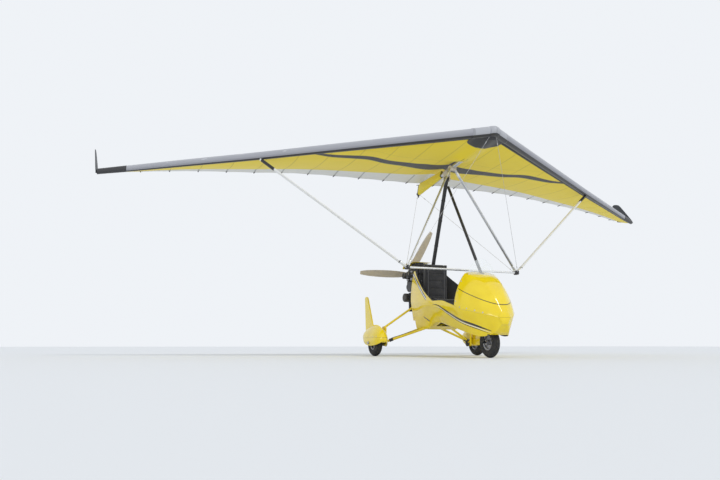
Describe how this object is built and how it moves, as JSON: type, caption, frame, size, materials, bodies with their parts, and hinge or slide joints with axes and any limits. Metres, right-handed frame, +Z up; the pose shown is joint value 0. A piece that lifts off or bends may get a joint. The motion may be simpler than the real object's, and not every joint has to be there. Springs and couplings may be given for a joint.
{
  "type": "microlight aircraft",
  "caption": "Weight-shift microlight with a strut-braced flexible wing hung over an open pod on a tricycle gear with wheel spats and a pusher propeller.",
  "frame": {"origin": "centre of the footprint box, on the ground that the three wheels stand on", "axes": "+X forward, +Y to port, +Z up"},
  "size_m": [3.14, 9.624, 2.9629],
  "materials": {
    "sail_yellow": "coated sailcloth",
    "sail_white": "sailcloth",
    "pocket_grey": "coated sailcloth, silver grey",
    "cover_black": "sailcloth",
    "alloy": "satin, anodised",
    "moulded_black": "moulded",
    "steel_wire": "stranded",
    "bracket_cream": "painted cream",
    "frame_black": "powder coated",
    "pod_yellow": "gel coat",
    "clear": "clear sheet",
    "seat_cloth": "woven, padded",
    "engine_black": "satin paint",
    "exhaust_steel": "heat resistant paint",
    "gear_yellow": "powder coated",
    "steel": "turned",
    "tyre": "matt",
    "wheel_alloy": "cast",
    "blade": "composite, satin"
  },
  "bodies": {
    "trike": {"mast": "frame_black", "front_strut": "frame_black", "main_beam": "frame_black", "pod_tub": "pod_yellow", "pod_hood": "pod_yellow", "instrument_panel": "moulded_black", "windscreen": "clear", "front_seat": "seat_cloth", "rear_seat": "seat_cloth", "engine_mount": "frame_black", "engine": "engine_black", "silencer": "exhaust_steel", "radiator": "engine_black", "engine_cowl": "pod_yellow", "gear_leg_port": "gear_yellow", "gear_leg_starboard": "gear_yellow", "main_axle_port": "steel", "main_axle_starboard": "steel", "spat_port": "pod_yellow", "spat_starboard": "pod_yellow"},
    "hang_bracket": {"hang_bracket": "bracket_cream"},
    "wing": {"nose_cover": "cover_black", "keel_tube": "alloy", "keel_pocket": "sail_yellow", "apex_fitting": "bracket_cream", "base_bar": "alloy", "bar_corners": "moulded_black", "tip_fins": "moulded_black", "pitch_wires": "steel_wire", "sail_port": "sail_yellow", "sail_starboard": "sail_yellow", "leading_edge_port": "pocket_grey", "leading_edge_starboard": "pocket_grey", "trailing_band_port": "sail_white", "trailing_band_starboard": "sail_white", "upright_port": "alloy", "upright_starboard": "alloy", "wing_strut_port": "alloy", "wing_strut_starboard": "alloy"},
    "nose_fork": {"nose_fork": "frame_black"},
    "nose_wheel": {"nose_tyre": "tyre", "nose_rim": "wheel_alloy"},
    "main_wheel_port": {"main_tyre_port": "tyre", "main_rim_port": "wheel_alloy"},
    "main_wheel_starboard": {"main_tyre_starboard": "tyre", "main_rim_starboard": "wheel_alloy"},
    "propeller": {"propeller": "blade"}
  },
  "joints": [
    {"name": "wing_pitch", "type": "hinge", "parent": "trike", "child": "hang_bracket", "pos_m": [0.155, 0, 2.574], "axis": [0, 1, 0], "range_deg": [-10, 18]},
    {"name": "wing_roll", "type": "hinge", "parent": "hang_bracket", "child": "wing", "pos_m": [0.155, 0, 2.67461], "axis": [0.9943, 0, 0.1066], "range_deg": [-25, 25]},
    {"name": "steering", "type": "hinge", "parent": "trike", "child": "nose_fork", "pos_m": [1.06063, 0, 0.40703], "axis": [-0.2639, 0, 0.9646], "range_deg": [-25, 25]},
    {"name": "nose_wheel_spin", "type": "hinge", "parent": "nose_fork", "child": "nose_wheel", "pos_m": [1.12, 0, 0.19], "axis": [0, 1, 0], "continuous": true},
    {"name": "main_wheel_port_spin", "type": "hinge", "parent": "trike", "child": "main_wheel_port", "pos_m": [-0.57, 0.86, 0.19], "axis": [0, 1, 0], "continuous": true},
    {"name": "main_wheel_starboard_spin", "type": "hinge", "parent": "trike", "child": "main_wheel_starboard", "pos_m": [-0.57, -0.86, 0.19], "axis": [0, 1, 0], "continuous": true},
    {"name": "propeller_spin", "type": "hinge", "parent": "trike", "child": "propeller", "pos_m": [-1.19, 0, 1.3], "axis": [1, 0, 0], "continuous": true}
  ]
}
